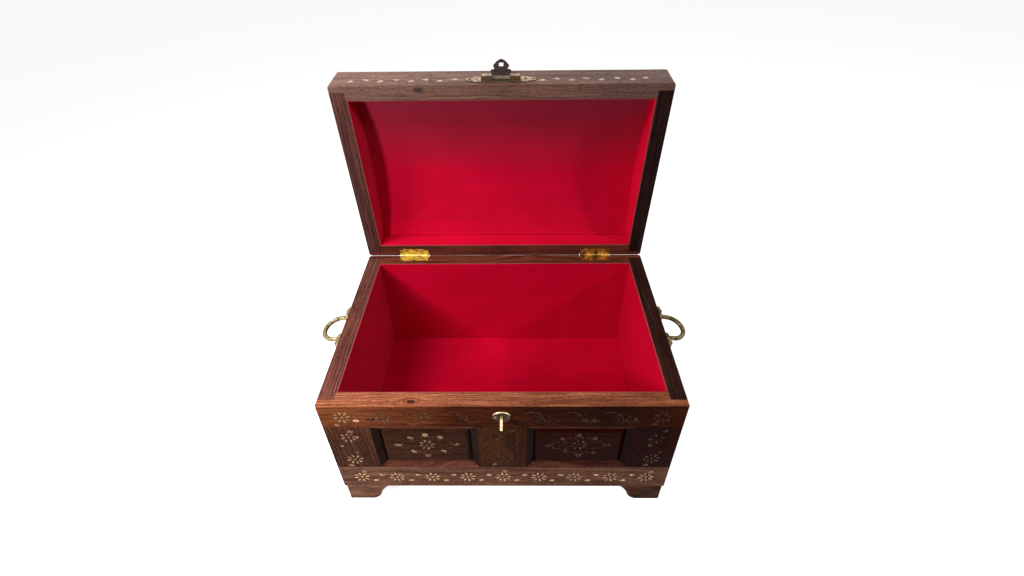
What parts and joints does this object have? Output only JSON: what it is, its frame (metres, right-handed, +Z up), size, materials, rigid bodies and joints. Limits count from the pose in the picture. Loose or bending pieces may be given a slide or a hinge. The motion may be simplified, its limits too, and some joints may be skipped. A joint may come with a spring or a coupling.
{
  "type": "domed dowry chest",
  "caption": "Domed wooden dowry chest with panelled walls, brass hinges, hasp and staple, side pulls, bracket feet and a red cloth lining.",
  "frame": {"origin": "on the floor, at the middle of the bounding box of the chest as it stands with its lid open", "axes": "+X to the right along the front, +Y from front to back, +Z up"},
  "size_m": [0.3564, 0.2552, 0.3624],
  "materials": {
    "rosewood": "waxed, open grain",
    "lining": "napped cloth",
    "brass": "lacquered",
    "aged_brass": "darkened",
    "nails": "dull"
  },
  "bodies": {
    "chest": {"floor_board": "rosewood", "front_top_rail": "rosewood", "front_bottom_rail": "rosewood", "front_left_stile": "rosewood", "front_centre_stile": "rosewood", "front_right_stile": "rosewood", "front_left_panel": "rosewood", "front_left_moulding": "rosewood", "front_right_panel": "rosewood", "front_right_moulding": "rosewood", "right_side_top_rail": "rosewood", "right_side_bottom_rail": "rosewood", "right_side_front_stile": "rosewood", "right_side_back_stile": "rosewood", "right_side_panel": "rosewood", "right_side_moulding": "rosewood", "back_board": "rosewood", "front_lining": "lining", "back_lining": "lining", "right_lining": "lining", "left_lining": "lining", "floor_lining": "lining", "front_right_foot": "rosewood", "back_right_foot": "rosewood", "front_left_foot": "rosewood", "back_left_foot": "rosewood", "left_hinge_body_leaf": "brass", "left_hinge_pin": "brass", "right_hinge_body_leaf": "brass", "right_hinge_pin": "brass", "hinge_body_nails": "nails", "staple": "brass", "staple_nails": "nails", "right_pull": "brass", "left_pull": "brass", "pull_nails": "nails", "left_side_top_rail": "rosewood", "left_side_bottom_rail": "rosewood", "left_side_front_stile": "rosewood", "left_side_back_stile": "rosewood", "left_side_panel": "rosewood", "left_side_moulding": "rosewood"},
    "lid": {"lid_right_end": "rosewood", "lid_left_end": "rosewood", "lid_board": "rosewood", "lid_front_rail": "rosewood", "lid_back_rail": "rosewood", "lid_vault_lining": "lining", "lid_right_lining": "lining", "lid_left_lining": "lining", "lid_front_lining": "lining", "lid_back_lining": "lining", "left_hinge_lid_leaf": "brass", "right_hinge_lid_leaf": "brass", "hinge_lid_nails": "nails", "hasp_base": "brass", "hasp_pin": "brass", "hasp_nails": "nails"},
    "hasp_flap": {"hasp_flap": "aged_brass"}
  },
  "joints": [
    {"name": "lid_hinge", "type": "hinge", "parent": "chest", "child": "lid", "pos_m": [0, 0.08699, 0.15035], "axis": [1, 0, 0], "range_deg": [0, 85.7]},
    {"name": "hasp_hinge", "type": "hinge", "parent": "lid", "child": "hasp_flap", "pos_m": [0, 0.07959, 0.35467], "axis": [1, 0, 0], "range_deg": [0, 172]}
  ]
}
